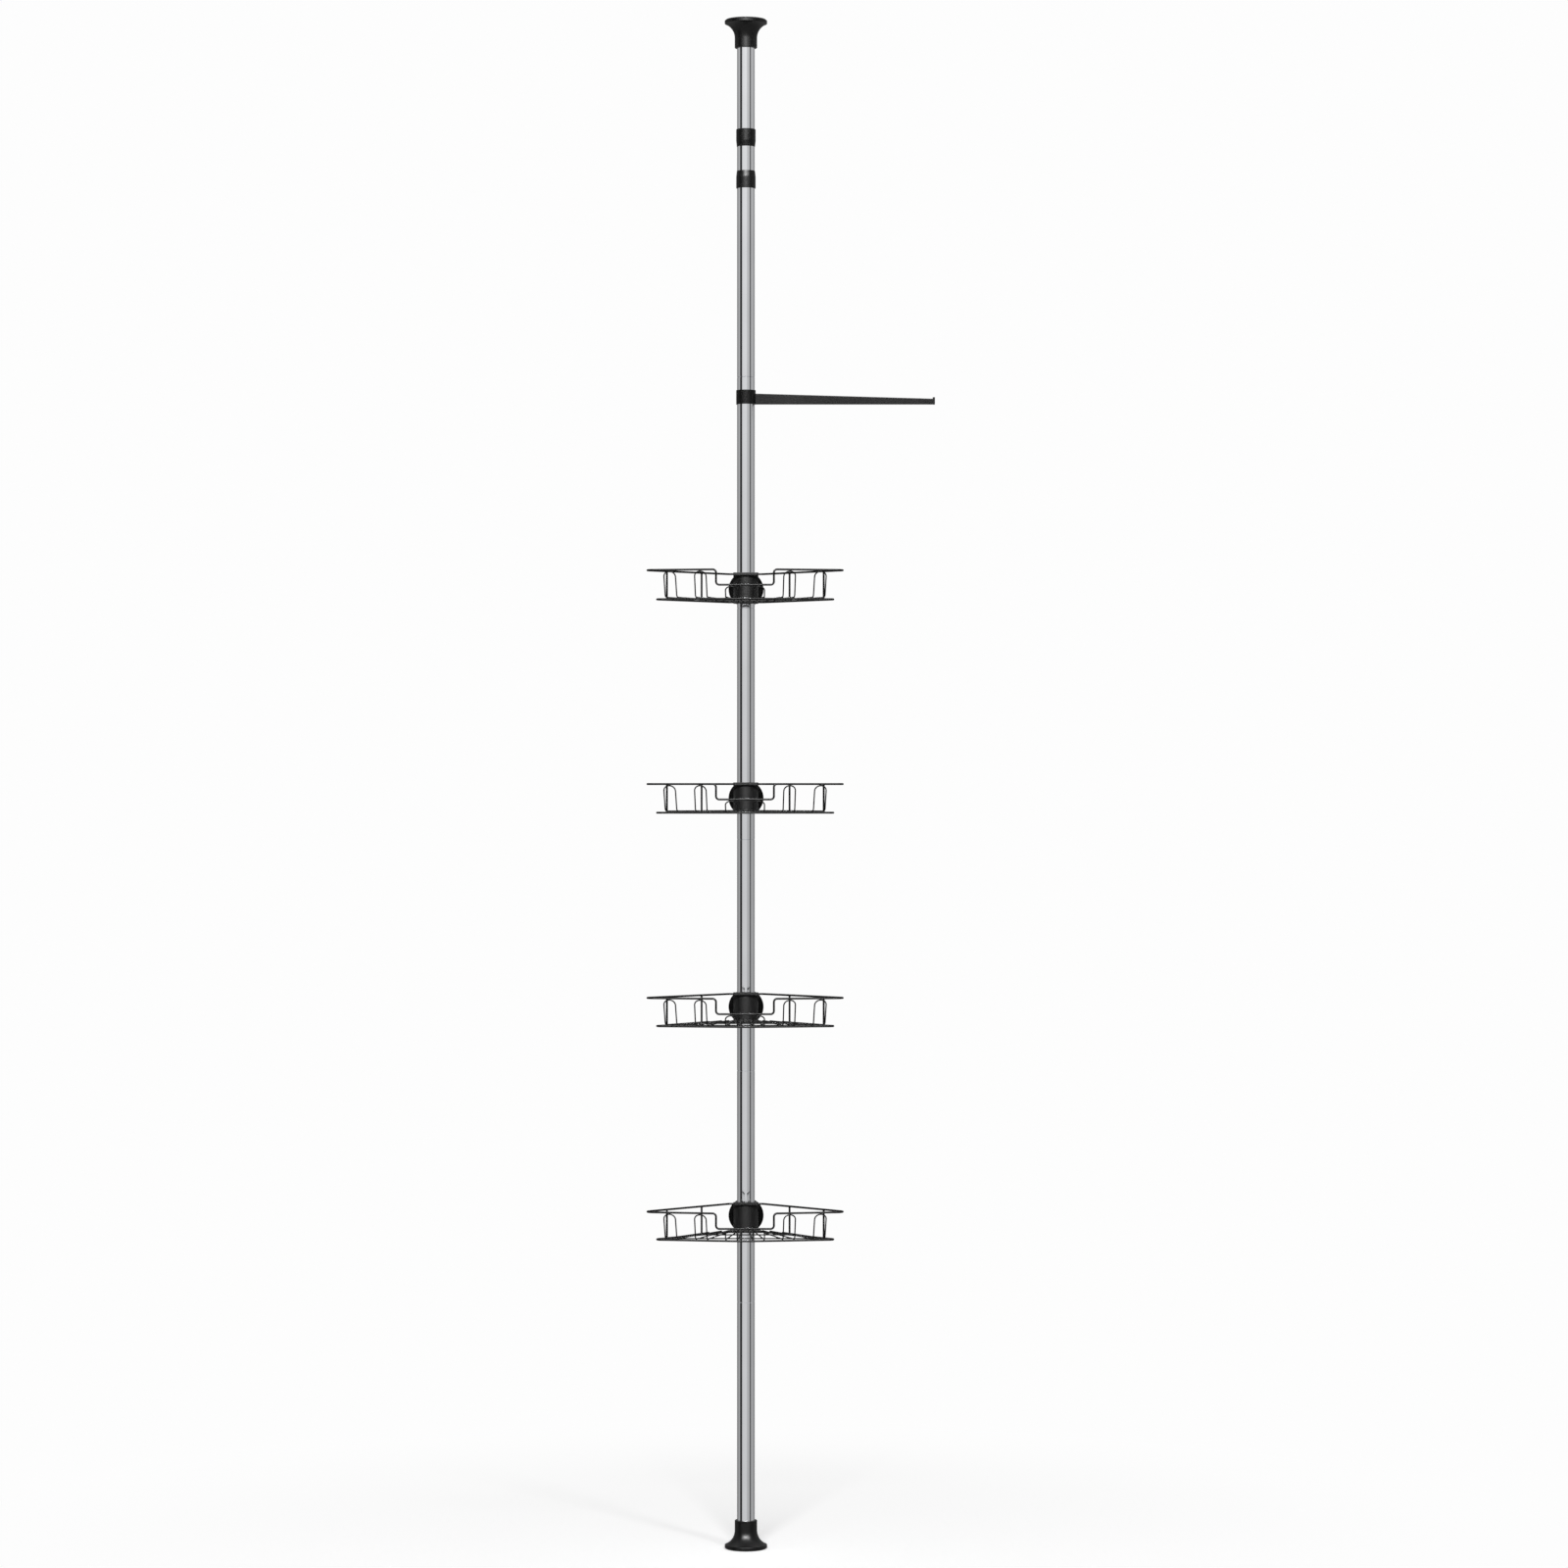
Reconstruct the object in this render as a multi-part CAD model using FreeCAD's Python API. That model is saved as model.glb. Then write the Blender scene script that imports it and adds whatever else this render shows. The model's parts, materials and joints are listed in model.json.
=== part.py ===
"""Tension pole shelf unit: a sectional chrome pole with four corner baskets and one towel arm.

The pole stands on a rubber-soled foot and is jammed against the ceiling by a turning barrel:
the barrel's nut drives a screw that lifts the top tube.  Baskets and arm grip the pole.

Millimetres.  Origin: on the floor, on the pole's axis.  +Z up, baskets point to -Y, arm to +X.
One STEP file per sub-part goes to parts/.
"""
import FreeCAD, Part
import math
import os

Vec = FreeCAD.Vector

# ---------------------------------------------------------------- driving dimensions, millimetres

# fits
RUN_GAP = 0.05            # radial play of a piece that turns or slides on another
SEAT_GAP = 0.05           # radial play of a piece that is pressed, screwed or glued in
END_GAP = 0.10            # play between end faces of pieces that turn on each other
WELD_GAP = 0.02           # distance between the skins of two welded wires
OVERCUT = 1.0             # how far a cutting tool runs past the face it opens

# pole tubes
TUBE_R = 12.5
TUBE_WALL = 1.0
TUBE_END_CHAMFER = 0.6
SECTION_LEN = 326.5       # each of the equal sections
SECTION_COUNT = 5
UPPER_LEN = 279.4         # the shorter section that carries the adjuster
TOP_LEN = 143.5           # the tube that the adjuster lifts
COUPLER_LEN = 50.0
COUPLER_BORE_R = 8.0

# foot and ceiling cap, the same moulding
CAP_R = 30.0
CAP_HEIGHT = 40.1         # from the floor to the sleeve's mouth
CAP_SLEEVE_R = 15.85
CAP_SEAT_Z = 22.2         # where the tube's end stands
CAP_FLARE_R = 21.5        # concave flare between the sleeve and the flange
CAP_FLARE_TOP = 25.8      # height where the flare leaves the sleeve
CAP_EDGE = 0.7            # size of the broken edges
PAD_R = 28.0
PAD_THICK = 3.0
PAD_PROUD = 1.0           # how far the sole stands below the cap
PAD_GROOVE_R = 24.0
PAD_GROOVE_WIDTH = 2.0
PAD_GROOVE_DEPTH = 0.7

# tension adjuster
COLLAR_R = 13.75
COLLAR_HEIGHT = 24.7
COLLAR_TAPER_LEN = 8.4    # the end that narrows towards the barrel
COLLAR_TAPER_R = 12.85
COLLAR_EDGE = 0.5
LOWER_COLLAR_SEAT = 12.5  # how deep the upper section stands in its collar
UPPER_COLLAR_SEAT = 10.9  # how deep the top tube stands in its collar
BARREL_LEN = 58.8
BUSH_FLANGE = 1.2
BUSH_PLUG_LEN = 24.0
BUSH_SPIGOT_LEN = 12.0
BUSH_BORE_GAP = 0.4
SCREW_R = 8.0
SCREW_TRAVEL = 40.0
SCREW_SPARE = 8.0         # screw left below the nut at full lift
NUT_LEN = 30.0
NUT_FROM_BARREL_END = 13.5
PLUG_LEN = 28.0
PLUG_ROOF = 4.0

# towel arm
ARM_BELOW_SEAM = 38.2     # from the highest tube seam down to the arm's underside
ARM_RING_R = 13.8
ARM_RING_HEIGHT = 19.9
ARM_LINER_WALL = 0.4
ARM_REACH = 267.0         # pole axis to the end of the lip
ARM_ROOT_HEIGHT = 15.5
ARM_TIP_HEIGHT = 7.9
ARM_THICK = 6.0
ARM_EDGE_R = 0.8
ARM_LIP_THICK = 3.0
ARM_LIP_HEIGHT = 10.0
ARM_LIP_WIDTH = 9.0

# baskets
BASKET_BELOW_SEAM = 278.9 # from the highest tube seam down to the rim wire of basket 1
BASKET_PITCH = 295.8
BASKET_COUNT = 4
FRAME_WIRE_R = 1.4
GUARD_WIRE_R = 0.9
BASKET_DEPTH = 39.7       # rim wire to floor frame, centre to centre
SIDE_LINE_Y = 6.5         # the 45-degree sides lie on Y = SIDE_LINE_Y - |X|
RIM_CORNER_X = 145.6      # where the rim's side and front lines cross
RIM_FRONT_SLOPE = 0.197
RIM_CORNER_BEND = 10.2
BASE_CORNER_X = 130.2
BASE_FRONT_SLOPE = 0.184
BASE_CORNER_BEND = 7.6
BASE_FRONT_BEND = 150.0   # soft bend at the middle of the floor frame's front
BACK_BEND = 4.0
DIP_HALF_WIDTH = 39.9     # the lowered middle of the rim's front
DIP_DEPTH = 21.2
DIP_BEND = 4.5
POST_FIRST_X = 61.6
POST_PITCH = 47.4
POSTS_PER_SIDE = 2
GUARD_FIRST_X = 18.7      # centre of the loop beside the middle, at the floor
GUARD_PITCH = 41.85
GUARDS_PER_SIDE = 3
GUARD_HALF_WIDTH = 8.0
GUARD_TOP_BEND = 7.8
GUARD_TOP_SPREAD = 1.02   # loops stand slightly wider at the rim than at the floor
GUARD_FLOOR_BEND = 6.0
GUARD_TOE = 3.0           # the loops bulge this far in front of the floor frame
REAR_END_PITCH = 6.87     # spacing of the floor wires where they end in front of the bracket
LAST_END_GAP = 9.9        # from the first post, along X, to the end of the outermost floor wire
REAR_CROSS_GAP = 1.6      # from the bracket's lower bar to the rear cross wire
MIDDLE_CROSS_Y = -62.0
FRONT_CROSS_Y = -113.0

# basket bracket, liner and clamp
LINER_WALL = 1.05
LINER_LIP_R = 14.8
LINER_LIP_THICK = 1.2
LINER_SLIT = 2.0
SLEEVE_TOP = 20.0         # of the bracket, above the middle between the two back wires
SLEEVE_LOW = 21.0         # below that middle; the lower bar ends there too
BRACKET_FRONT_R = 16.4
BRACKET_REAR_R = 17.6     # the rear half of the sleeve, and half the width of the bars
BAR_WALL = 1.05           # plastic in front of the wire
BAR_REAR_WALL = 0.85      # plastic behind the wire, where the upper bar stands above the sleeve
BAR_CORNER_R = 1.0
UPPER_BAR_TOP = 22.2      # above the middle
UPPER_BAR_LIP = 3.8       # height of the upper bar's front face
UPPER_BAR_SLOPE = 21.0    # degrees, of its underside
LOWER_BAR_THICK = 4.2
BOSS_R = 9.5
BOSS_END_Y = 25.0
SHOE_R = 6.0
SHOE_BACK_Y = 16.4
SHOE_SOCKET_DEPTH = 1.2
SHOE_TRAVEL = 2.0
INSERT_R = 4.5
INSERT_LEN = 6.0
CLAMP_SCREW_R = 3.0
KNOB_R = 24.8
KNOB_FACE_R = 22.1
KNOB_FACE_GAP = 0.6       # from the sleeve's rear to the knob's face
KNOB_BEVEL = 2.0
KNOB_RING = 5.0           # full-round front ring before the finger grip
KNOB_GRIP_R = 23.3
KNOB_DEPTH = 17.8
KNOB_BACK_BEVEL = 2.5
KNOB_SCALLOPS = 10
KNOB_SCALLOP_R = 6.0
KNOB_SCALLOP_DEPTH = 1.6
KNOB_RECESS_GAP = 0.8     # round the boss and behind it
KNOB_SCREW_DEPTH = 5.5    # how deep the screw is held in the knob

# ---------------------------------------------------------------- heights of the pole's pieces

tube_inner_r = TUBE_R - TUBE_WALL
insert_r = tube_inner_r - SEAT_GAP
collar_bore_r = TUBE_R + RUN_GAP
upper_tube_z = CAP_SEAT_Z + SECTION_COUNT * SECTION_LEN
upper_tube_end = upper_tube_z + UPPER_LEN
lower_collar_z = upper_tube_end - LOWER_COLLAR_SEAT
barrel_z = upper_tube_end + BUSH_FLANGE + END_GAP
barrel_end = barrel_z + BARREL_LEN
top_tube_z = barrel_end + END_GAP
top_tube_end = top_tube_z + TOP_LEN
upper_collar_z = top_tube_z + UPPER_COLLAR_SEAT - COLLAR_HEIGHT
nut_z = barrel_z + NUT_FROM_BARREL_END
screw_z = nut_z - SCREW_TRAVEL - SCREW_SPARE
screw_top = top_tube_z + PLUG_LEN - PLUG_ROOF
ceiling_z = top_tube_end + CAP_SEAT_Z
arm_z = upper_tube_z - ARM_BELOW_SEAM
basket_rim_z = upper_tube_z - BASKET_BELOW_SEAM

# ---------------------------------------------------------------- heights and planes of a bracket

liner_r = TUBE_R + RUN_GAP + LINER_WALL
bracket_bore_r = liner_r + RUN_GAP
wire_half = BASKET_DEPTH / 2        # the two back wires lie this far above and below the middle
back_wire_y = -(BRACKET_FRONT_R + 2 * SEAT_GAP + FRAME_WIRE_R)
bar_front_y = back_wire_y - FRAME_WIRE_R - SEAT_GAP - BAR_WALL
bar_rear_y = back_wire_y + FRAME_WIRE_R + SEAT_GAP + BAR_REAR_WALL
rear_cross_y = bar_front_y - REAR_CROSS_GAP - GUARD_WIRE_R
knob_face_y = BRACKET_REAR_R + KNOB_FACE_GAP
shoe_pocket_y = SHOE_BACK_Y + SHOE_TRAVEL + END_GAP
knob_recess_y = BOSS_END_Y + KNOB_RECESS_GAP
screw_hole_end = knob_recess_y + KNOB_SCREW_DEPTH
guard_level = FRAME_WIRE_R + GUARD_WIRE_R + WELD_GAP

parts = {}


# ---------------------------------------------------------------- helpers

def outline(steps):
    """A closed flat face.  [point] ends a straight run; [middle, point] ends an arc
    through middle."""
    edges = []
    here = steps[-1][-1]
    for step in steps:
        target = step[-1]
        if len(step) == 2:
            edges.append(Part.Arc(here, step[0], target).toShape())
        else:
            edges.append(Part.LineSegment(here, target).toShape())
        here = target
    return Part.Face(Part.Wire(edges))


def rz(radius, height):
    """A point of a turned profile."""
    return Vec(radius, 0, height)


def turned(steps):
    """A solid of revolution about Z."""
    return outline(steps).revolve(Vec(0, 0, 0), Vec(0, 0, 1), 360)


def rod_z(radius, z_low, z_high):
    """A round rod along Z, on the pole's axis."""
    return Part.makeCylinder(radius, z_high - z_low, Vec(0, 0, z_low))


def ring(outer_r, inner_r, z_low, z_high):
    """A plain round sleeve about Z."""
    sleeve = rod_z(outer_r, z_low, z_high)
    return sleeve.cut(rod_z(inner_r, z_low - OVERCUT, z_high + OVERCUT))


def rod_y(radius, y_low, y_high):
    """A round rod along Y."""
    return Part.makeCylinder(radius, y_high - y_low, Vec(0, y_low, 0), Vec(0, 1, 0))


def box(x_low, x_high, y_low, y_high, z_low, z_high):
    return Part.makeBox(x_high - x_low, y_high - y_low, z_high - z_low, Vec(x_low, y_low, z_low))


def moved(shape, z):
    copy = shape.copy()
    copy.translate(Vec(0, 0, z))
    return copy


def mirrored(point):
    return Vec(-point.x, point.y, point.z)


def upside_down(shape, z):
    """The shape turned over, so that its floor lies at height z."""
    return shape.mirror(Vec(0, 0, z / 2), Vec(0, 0, 1))


def bent_path(corners, bends, closed):
    """Straight runs through the corners, joined by tangent arcs of the given radii."""
    count = len(corners)
    starts = []
    ends = []
    arcs = []
    for index, corner in enumerate(corners):
        if not closed and index in (0, count - 1):
            starts.append(corner)
            ends.append(corner)
            arcs.append(None)
            continue
        to_before = (corners[index - 1] - corner).normalize()
        to_after = (corners[(index + 1) % count] - corner).normalize()
        half_angle = to_before.getAngle(to_after) / 2
        reach = bends[index] / math.tan(half_angle)
        middle = (to_before + to_after).normalize()
        sagitta = bends[index] / math.sin(half_angle) - bends[index]
        starts.append(corner + to_before * reach)
        ends.append(corner + to_after * reach)
        arcs.append(Part.Arc(starts[-1], corner + middle * sagitta, ends[-1]).toShape())
    edges = []
    for index in range(count):
        if arcs[index]:
            edges.append(arcs[index])
        if index < count - 1 or closed:
            after = starts[(index + 1) % count]
            edges.append(Part.LineSegment(ends[index], after).toShape())
    return Part.Wire(edges)


def bent_wire(corners, bends, radius, closed=False):
    """Round wire bent along the corners."""
    path = bent_path(corners, bends, closed)
    first = path.Edges[0]
    start = first.valueAt(first.FirstParameter)
    direction = first.tangentAt(first.FirstParameter)
    section = Part.Face(Part.Wire(Part.makeCircle(radius, start, direction)))
    return path.makePipe(section)


# ---------------------------------------------------------------- pole

def tube(z_low, length):
    """A chromed tube with its outer edges broken at both ends."""
    z_high = z_low + length
    chamfer = TUBE_END_CHAMFER
    return turned([
        [rz(tube_inner_r, z_low)],
        [rz(TUBE_R - chamfer, z_low)],
        [rz(TUBE_R, z_low + chamfer)],
        [rz(TUBE_R, z_high - chamfer)],
        [rz(TUBE_R - chamfer, z_high)],
        [rz(tube_inner_r, z_high)],
    ])


def coupler(z_joint):
    """The threaded connector inside two tubes that meet."""
    half = COUPLER_LEN / 2
    return ring(insert_r, COUPLER_BORE_R, z_joint - half, z_joint + half)


def cap():
    """Foot moulding: a flange that flares up into a sleeve for the tube."""
    low = PAD_PROUD
    edge = CAP_EDGE
    flare_centre_r = CAP_SLEEVE_R + CAP_FLARE_R
    flange_top_r = CAP_R - edge
    flange_top = CAP_FLARE_TOP - math.sqrt(CAP_FLARE_R ** 2 - (flare_centre_r - flange_top_r) ** 2)
    flare_middle = rz(flare_centre_r - CAP_FLARE_R * math.cos(math.radians(45)),
                      CAP_FLARE_TOP - CAP_FLARE_R * math.sin(math.radians(45)))
    round_shift = edge * (1 - math.cos(math.radians(45)))
    body = turned([
        [rz(0, low)],
        [rz(flange_top_r, low)],
        [rz(CAP_R, low + edge)],
        [rz(CAP_R, flange_top - edge)],
        [rz(CAP_R - round_shift, flange_top - round_shift), rz(flange_top_r, flange_top)],
        [flare_middle, rz(CAP_SLEEVE_R, CAP_FLARE_TOP)],
        [rz(CAP_SLEEVE_R, CAP_HEIGHT - edge)],
        [rz(CAP_SLEEVE_R - edge, CAP_HEIGHT)],
        [rz(0, CAP_HEIGHT)],
    ])
    socket = rod_z(TUBE_R + SEAT_GAP, CAP_SEAT_Z, CAP_HEIGHT + OVERCUT)
    pad_recess = rod_z(PAD_R + SEAT_GAP, 0, PAD_THICK)
    return body.cut([socket, pad_recess])


def pad():
    """Rubber sole that stands in the cap's recess, with one grip groove."""
    groove = ring(PAD_GROOVE_R + PAD_GROOVE_WIDTH / 2, PAD_GROOVE_R - PAD_GROOVE_WIDTH / 2,
                  0, PAD_GROOVE_DEPTH)
    return rod_z(PAD_R, 0, PAD_THICK).cut(groove)


def build_pole():
    parts["foot_cup"] = cap()
    parts["foot_pad"] = pad()
    for index in range(SECTION_COUNT):
        parts["tube_%d" % (index + 1)] = tube(CAP_SEAT_Z + index * SECTION_LEN, SECTION_LEN)
    parts["tube_%d" % (SECTION_COUNT + 1)] = tube(upper_tube_z, UPPER_LEN)
    joints = [CAP_SEAT_Z + (index + 1) * SECTION_LEN for index in range(SECTION_COUNT)]
    parts["tube_couplers"] = Part.makeCompound([coupler(z) for z in joints])


# ---------------------------------------------------------------- tension adjuster

def collar():
    """Collar that stands on z = 0 and narrows towards its upper end."""
    return turned([
        [rz(collar_bore_r, 0)],
        [rz(COLLAR_R - COLLAR_EDGE, 0)],
        [rz(COLLAR_R, COLLAR_EDGE)],
        [rz(COLLAR_R, COLLAR_HEIGHT - COLLAR_TAPER_LEN)],
        [rz(COLLAR_TAPER_R, COLLAR_HEIGHT)],
        [rz(collar_bore_r, COLLAR_HEIGHT)],
    ])


def barrel_bush():
    """Plug in the upper section's end, with the flange and spigot that the barrel turns on."""
    bore_r = SCREW_R + BUSH_BORE_GAP
    spigot_r = tube_inner_r - RUN_GAP
    flange_r = TUBE_R - TUBE_END_CHAMFER
    flange_top = upper_tube_end + BUSH_FLANGE
    return turned([
        [rz(bore_r, upper_tube_end - BUSH_PLUG_LEN)],
        [rz(insert_r, upper_tube_end - BUSH_PLUG_LEN)],
        [rz(insert_r, upper_tube_end)],
        [rz(flange_r, upper_tube_end)],
        [rz(flange_r, flange_top)],
        [rz(spigot_r, flange_top)],
        [rz(spigot_r, flange_top + BUSH_SPIGOT_LEN)],
        [rz(bore_r, flange_top + BUSH_SPIGOT_LEN)],
    ])


def top_plug():
    """Plug in the top tube's lower end, screwed onto the jack screw."""
    body = rod_z(insert_r, top_tube_z, top_tube_z + PLUG_LEN)
    return body.cut(rod_z(SCREW_R + SEAT_GAP, top_tube_z - OVERCUT, screw_top))


def build_adjuster():
    parts["lower_collar"] = moved(collar(), lower_collar_z)
    parts["barrel_bush"] = barrel_bush()
    parts["barrel_tube"] = tube(barrel_z, BARREL_LEN)
    parts["barrel_nut"] = ring(insert_r, SCREW_R + RUN_GAP, nut_z, nut_z + NUT_LEN)
    parts["upper_collar"] = moved(upside_down(collar(), COLLAR_HEIGHT), upper_collar_z)
    parts["jack_screw"] = rod_z(SCREW_R, screw_z, screw_top)
    parts["top_plug"] = top_plug()
    parts["top_tube"] = tube(top_tube_z, TOP_LEN)
    parts["ceiling_cup"] = upside_down(cap(), ceiling_z)
    parts["ceiling_pad"] = upside_down(pad(), ceiling_z)


# ---------------------------------------------------------------- towel arm

def build_arm():
    """A ring with a tapered blade that ends in an upturned lip, moulded in one piece."""
    liner_outer_r = TUBE_R + RUN_GAP + ARM_LINER_WALL
    top_z = arm_z + ARM_RING_HEIGHT
    parts["arm_liner"] = ring(liner_outer_r, TUBE_R + RUN_GAP, arm_z, top_z)
    bore = rod_z(liner_outer_r + RUN_GAP, arm_z - OVERCUT, top_z + OVERCUT)
    half = ARM_THICK / 2
    blade_end = ARM_REACH - ARM_LIP_THICK / 2
    blade = outline([
        [Vec(0, -half, arm_z)],
        [Vec(blade_end, -half, arm_z)],
        [Vec(blade_end, -half, arm_z + ARM_TIP_HEIGHT)],
        [Vec(0, -half, arm_z + ARM_ROOT_HEIGHT)],
    ]).extrude(Vec(0, ARM_THICK, 0))
    long_edges = [edge for edge in blade.Edges if edge.Length > ARM_REACH / 2]
    blade = blade.makeFillet(ARM_EDGE_R, long_edges)
    lip = box(ARM_REACH - ARM_LIP_THICK, ARM_REACH, -ARM_LIP_WIDTH / 2, ARM_LIP_WIDTH / 2,
              arm_z, arm_z + ARM_LIP_HEIGHT)
    upright = [edge for edge in lip.Edges if abs(edge.tangentAt(edge.FirstParameter).x) > 0.9]
    lip = lip.makeFillet(ARM_EDGE_R, upright)
    sleeve = rod_z(ARM_RING_R, arm_z, top_z)
    parts["towel_arm"] = sleeve.fuse([blade, lip]).cut(bore)


# ---------------------------------------------------------------- wire basket, rim wire at z = 0

def side_y(x):
    """Y of the 45-degree side above the floor, at |X| = x."""
    return SIDE_LINE_Y - x


def rim_front_y(x):
    """Y of the rim's front wire at |X| = x."""
    return side_y(RIM_CORNER_X) - RIM_FRONT_SLOPE * (RIM_CORNER_X - x)


def base_front_y(x):
    """Y of the floor frame's front wire at |X| = x, soft bend included."""
    straight = side_y(BASE_CORNER_X) - BASE_FRONT_SLOPE * (BASE_CORNER_X - x)
    angle = math.atan(BASE_FRONT_SLOPE)
    if x >= BASE_FRONT_BEND * math.sin(angle):
        return straight
    centre_y = side_y(BASE_CORNER_X) - BASE_FRONT_SLOPE * BASE_CORNER_X + BASE_FRONT_BEND / math.cos(angle)
    return centre_y - math.sqrt(BASE_FRONT_BEND ** 2 - x ** 2)


def rim_wire():
    """The upper loop: behind the bracket's bar, out along the sides, back along the front
    and down into the dip."""
    back_x = SIDE_LINE_Y - back_wire_y
    dip_y = rim_front_y(DIP_HALF_WIDTH)
    right = [
        Vec(back_x, back_wire_y, 0),
        Vec(RIM_CORNER_X, side_y(RIM_CORNER_X), 0),
        Vec(DIP_HALF_WIDTH, dip_y, 0),
        Vec(DIP_HALF_WIDTH, dip_y, -DIP_DEPTH),
    ]
    bends = [BACK_BEND, RIM_CORNER_BEND, DIP_BEND, DIP_BEND]
    corners = right + [mirrored(point) for point in reversed(right)]
    return bent_wire(corners, bends + bends[::-1], FRAME_WIRE_R, closed=True)


def floor_frame():
    """The lower loop."""
    back_x = SIDE_LINE_Y - back_wire_y
    z = -BASKET_DEPTH
    right = [
        Vec(back_x, back_wire_y, z),
        Vec(BASE_CORNER_X, side_y(BASE_CORNER_X), z),
    ]
    nose = Vec(0, side_y(BASE_CORNER_X) - BASE_FRONT_SLOPE * BASE_CORNER_X, z)
    bends = [BACK_BEND, BASE_CORNER_BEND]
    corners = right + [nose] + [mirrored(point) for point in reversed(right)]
    return bent_wire(corners, bends + [BASE_FRONT_BEND] + bends[::-1], FRAME_WIRE_R, closed=True)


def posts(rim, frame):
    """Uprights between the two loops, their ends fitted to the round wires."""
    uprights = []
    for index in range(POSTS_PER_SIDE):
        x = POST_FIRST_X + index * POST_PITCH
        for side in (-1, 1):
            post = Part.makeCylinder(FRAME_WIRE_R, BASKET_DEPTH, Vec(side * x, side_y(x), -BASKET_DEPTH))
            uprights.append(post.cut([rim, frame]))
    return uprights


def floor_end(toe, rank):
    """Where a floor wire that leaves toe ends: over the rear cross wire, the rank-th from
    the middle, or on the frame's side where the wire comes to that first.  The outermost
    one ends on the side beside the first post."""
    if rank == 2 * GUARDS_PER_SIDE - 1:
        end_x = POST_FIRST_X - LAST_END_GAP
        return Vec(math.copysign(end_x, toe.x), side_y(end_x), toe.z)
    rear_x = (rank + 0.5) * REAR_END_PITCH
    rear_y = rear_cross_y + GUARD_WIRE_R
    toe_x = abs(toe.x)
    slant = (rear_x - toe_x) / (rear_y - toe.y)
    y_on_side = (SIDE_LINE_Y - toe_x + slant * toe.y) / (1 + slant)
    y = min(rear_y, y_on_side)
    return Vec(math.copysign(toe_x + slant * (y - toe.y), toe.x), y, toe.z)


def guard_wire(index, side):
    """One loop: a floor wire, up and over under the rim, and down into the next floor wire."""
    x_floor = GUARD_FIRST_X + index * GUARD_PITCH
    floor_z = -BASKET_DEPTH + guard_level
    x_top = x_floor * GUARD_TOP_SPREAD
    toes = []
    tops = []
    for offset in (GUARD_HALF_WIDTH, -GUARD_HALF_WIDTH):
        toe_x = x_floor + offset
        toes.append(Vec(side * toe_x, base_front_y(toe_x) - GUARD_TOE, floor_z))
        in_dip = x_top < DIP_HALF_WIDTH
        top_x = x_top + offset
        top_y = rim_front_y(DIP_HALF_WIDTH if in_dip else top_x)
        top_z = -guard_level - (DIP_DEPTH if in_dip else 0)
        tops.append(Vec(side * top_x, top_y, top_z))
    outer_end = floor_end(toes[0], 2 * index + 1)
    inner_end = floor_end(toes[1], 2 * index)
    corners = [outer_end, toes[0], tops[0], tops[1], toes[1], inner_end]
    bends = [0, GUARD_FLOOR_BEND, GUARD_TOP_BEND, GUARD_TOP_BEND, GUARD_FLOOR_BEND, 0]
    return bent_wire(corners, bends, GUARD_WIRE_R)


def cross_wire(y, frame):
    """A straight wire under the floor wires, fitted between the frame's sides."""
    half = SIDE_LINE_Y - y
    z = -BASKET_DEPTH + guard_level - 2 * GUARD_WIRE_R - WELD_GAP
    rod = Part.makeCylinder(GUARD_WIRE_R, 2 * half, Vec(-half, y, z), Vec(1, 0, 0))
    inner = [solid for solid in rod.cut(frame).Solids if solid.BoundBox.XLength > half]
    return inner[0]


def guard_wires(frame):
    wires = []
    for index in range(GUARDS_PER_SIDE):
        for side in (-1, 1):
            wires.append(guard_wire(index, side))
    for y in (rear_cross_y, MIDDLE_CROSS_Y, FRONT_CROSS_Y):
        wires.append(cross_wire(y, frame))
    return Part.makeCompound(wires)


# ---------------------------------------------------------------- bracket, middle at z = 0

def liner():
    """Split grip sleeve on the pole.  Its upper lip lies on the bracket's sleeve, its lower
    lip in the counterbore underneath."""
    bore_r = TUBE_R + RUN_GAP
    low = -SLEEVE_LOW + END_GAP
    upper_lip = SLEEVE_TOP + END_GAP
    high = upper_lip + LINER_LIP_THICK
    sleeve = turned([
        [rz(bore_r, low)],
        [rz(LINER_LIP_R, low)],
        [rz(LINER_LIP_R, low + LINER_LIP_THICK)],
        [rz(liner_r, low + LINER_LIP_THICK)],
        [rz(liner_r, upper_lip)],
        [rz(LINER_LIP_R, upper_lip)],
        [rz(LINER_LIP_R, high)],
        [rz(bore_r, high)],
    ])
    slit = box(-LINER_SLIT / 2, LINER_SLIT / 2, -LINER_LIP_R - OVERCUT, 0, low - OVERCUT, high + OVERCUT)
    return sleeve.cut(slit)


def bar(profile):
    """A bar across the bracket's front, extruded from its side view in Y and Z, with its
    upright front corners rounded."""
    points = [[Vec(-BRACKET_REAR_R, y, z)] for y, z in profile]
    block = outline(points).extrude(Vec(2 * BRACKET_REAR_R, 0, 0))
    corners = [edge for edge in block.Edges
               if edge.BoundBox.XLength + edge.BoundBox.YLength < OVERCUT
               and edge.BoundBox.YMax < bar_front_y + OVERCUT]
    return block.makeFillet(BAR_CORNER_R, corners)


def upper_bar():
    """Stands above the sleeve in front; its underside slopes down to the sleeve."""
    front_low = UPPER_BAR_TOP - UPPER_BAR_LIP
    root_low = front_low + bar_front_y * math.tan(math.radians(UPPER_BAR_SLOPE))
    return bar([
        (bar_front_y, front_low),
        (0, root_low),
        (0, SLEEVE_TOP),
        (bar_rear_y, SLEEVE_TOP),
        (bar_rear_y, UPPER_BAR_TOP),
        (bar_front_y, UPPER_BAR_TOP),
    ])


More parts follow.
